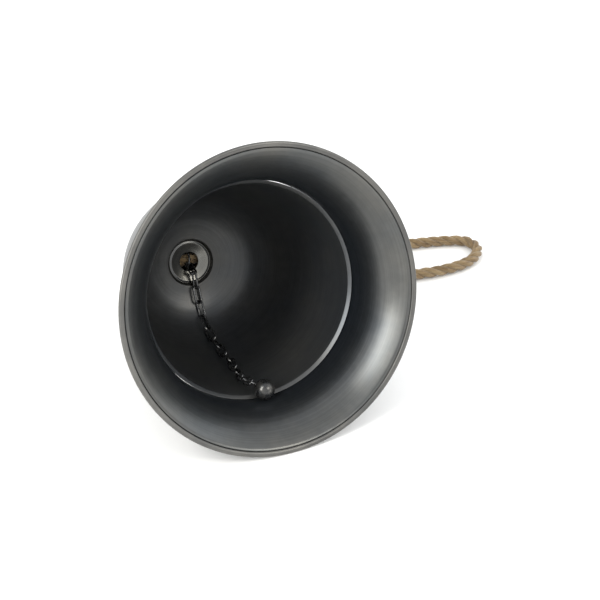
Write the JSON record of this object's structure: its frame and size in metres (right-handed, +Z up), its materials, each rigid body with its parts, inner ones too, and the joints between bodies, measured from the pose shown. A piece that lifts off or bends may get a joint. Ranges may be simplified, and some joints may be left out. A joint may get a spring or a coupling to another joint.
{
  "type": "temple bell",
  "caption": "Flared sheet-metal hand bell lying on its side, with a chain and ball clapper inside and a jute rope loop through its crown knob.",
  "frame": {"origin": "middle of the bell's box on the floor, the rope loop left out", "axes": "+Z up, +Y from the mouth towards the crown along the floor, +X towards the side that the rope loop lies on"},
  "size_m": [0.3131, 0.2183, 0.1713],
  "materials": {
    "blackened_metal": "satin, blackened spun sheet",
    "blackened_rim": "satin, worn a little brighter",
    "chain_black": "satin black wire",
    "ball_black": "gloss black",
    "jute": "twisted natural fibre"
  },
  "bodies": {
    "bell": {"dome_shell": "blackened_metal", "flared_skirt": "blackened_metal", "rim_ring": "blackened_rim", "crown_knob": "blackened_metal", "hanging_rope": "jute", "rope_whipping": "jute"},
    "ring": {"hanger_ring": "chain_black"},
    "chain_01": {"link_01": "chain_black"},
    "chain_02": {"link_02": "chain_black"},
    "chain_03": {"link_03": "chain_black"},
    "chain_04": {"link_04": "chain_black"},
    "chain_05": {"link_05": "chain_black"},
    "chain_06": {"link_06": "chain_black"},
    "chain_07": {"link_07": "chain_black"},
    "chain_08": {"link_08": "chain_black"},
    "chain_09": {"link_09": "chain_black"},
    "chain_10": {"link_10": "chain_black"},
    "chain_11": {"link_11": "chain_black"},
    "chain_12": {"link_12": "chain_black"},
    "chain_13": {"link_13": "chain_black"},
    "chain_14": {"link_14": "chain_black"},
    "clapper": {"clapper_ball": "ball_black", "clapper_eye": "chain_black"}
  },
  "joints": [
    {"name": "ring_rock", "type": "hinge", "parent": "bell", "child": "ring", "pos_m": [0, 0.07951, 0.03972], "axis": [-1, 0, 0], "range_deg": [0, 15]},
    {"name": "link_01_bend", "type": "hinge", "parent": "ring", "child": "chain_01", "pos_m": [0, 0.07396, 0.03966], "axis": [-1, 0, 0], "range_deg": [0, 31]},
    {"name": "chain_swing", "type": "hinge", "parent": "chain_01", "child": "chain_02", "pos_m": [0, 0.06361, 0.0372], "axis": [-1, 0, 0], "range_deg": [0, 59]},
    {"name": "link_03_bend", "type": "hinge", "parent": "chain_02", "child": "chain_03", "pos_m": [0, 0.06096, 0.02866], "axis": [-1, 0, 0], "range_deg": [-10, 0]},
    {"name": "link_04_bend", "type": "hinge", "parent": "chain_03", "child": "chain_04", "pos_m": [0, 0.05645, 0.01998], "axis": [-1, 0, 0], "range_deg": [-13, 0]},
    {"name": "link_05_bend", "type": "hinge", "parent": "chain_04", "child": "chain_05", "pos_m": [0, 0.05012, 0.01252], "axis": [-1, 0, 0], "range_deg": [-19, 0]},
    {"name": "link_06_bend", "type": "hinge", "parent": "chain_05", "child": "chain_06", "pos_m": [0, 0.0417, 0.00753], "axis": [-1, 0, 0], "range_deg": [-17, 0]},
    {"name": "link_07_bend", "type": "hinge", "parent": "chain_06", "child": "chain_07", "pos_m": [0, 0.03217, 0.00532], "axis": [-1, 0, 0], "range_deg": [-9, 0]},
    {"name": "link_08_bend", "type": "hinge", "parent": "chain_07", "child": "chain_08", "pos_m": [0, 0.02241, 0.00463], "axis": [-1, 0, 0], "range_deg": [-5, 0]},
    {"name": "link_09_bend", "type": "hinge", "parent": "chain_08", "child": "chain_09", "pos_m": [0, 0.01263, 0.00487], "axis": [-1, 0, 0], "range_deg": [-4, 0]},
    {"name": "link_10_bend", "type": "hinge", "parent": "chain_09", "child": "chain_10", "pos_m": [-0.00012, 0.00288, 0.00571], "axis": [-1, 0, 0], "range_deg": [-3, 0]},
    {"name": "link_11_bend", "type": "hinge", "parent": "chain_10", "child": "chain_11", "pos_m": [-0.00115, -0.00679, 0.00684], "axis": [-1, 0, 0], "range_deg": [-4, 0]},
    {"name": "link_12_bend", "type": "hinge", "parent": "chain_11", "child": "chain_12", "pos_m": [-0.00274, -0.01629, 0.00852], "axis": [-1, 0, 0], "range_deg": [-9, 0]},
    {"name": "link_13_bend", "type": "hinge", "parent": "chain_12", "child": "chain_13", "pos_m": [-0.00432, -0.02545, 0.01159], "axis": [-1, 0, 0], "range_deg": [-4, 0]},
    {"name": "link_14_bend", "type": "hinge", "parent": "chain_13", "child": "chain_14", "pos_m": [-0.00529, -0.03443, 0.01536], "axis": [-1, 0, 0], "range_deg": [-3, 0]},
    {"name": "clapper_tilt", "type": "hinge", "parent": "chain_14", "child": "clapper", "pos_m": [-0.00538, -0.0434, 0.01927], "axis": [-1, 0, 0], "range_deg": [0, 30]}
  ],
  "couplings": [
    {"joint": "link_01_bend", "follows": "chain_swing", "ratio": 0.52542},
    {"joint": "link_03_bend", "follows": "chain_swing", "ratio": -0.16949},
    {"joint": "link_04_bend", "follows": "chain_swing", "ratio": -0.22034},
    {"joint": "link_05_bend", "follows": "chain_swing", "ratio": -0.32203},
    {"joint": "link_06_bend", "follows": "chain_swing", "ratio": -0.28814},
    {"joint": "link_07_bend", "follows": "chain_swing", "ratio": -0.15254},
    {"joint": "link_08_bend", "follows": "chain_swing", "ratio": -0.084746},
    {"joint": "link_09_bend", "follows": "chain_swing", "ratio": -0.067797},
    {"joint": "link_10_bend", "follows": "chain_swing", "ratio": -0.050847},
    {"joint": "link_11_bend", "follows": "chain_swing", "ratio": -0.067797},
    {"joint": "link_12_bend", "follows": "chain_swing", "ratio": -0.15254},
    {"joint": "link_13_bend", "follows": "chain_swing", "ratio": -0.067797},
    {"joint": "link_14_bend", "follows": "chain_swing", "ratio": -0.050847}
  ]
}
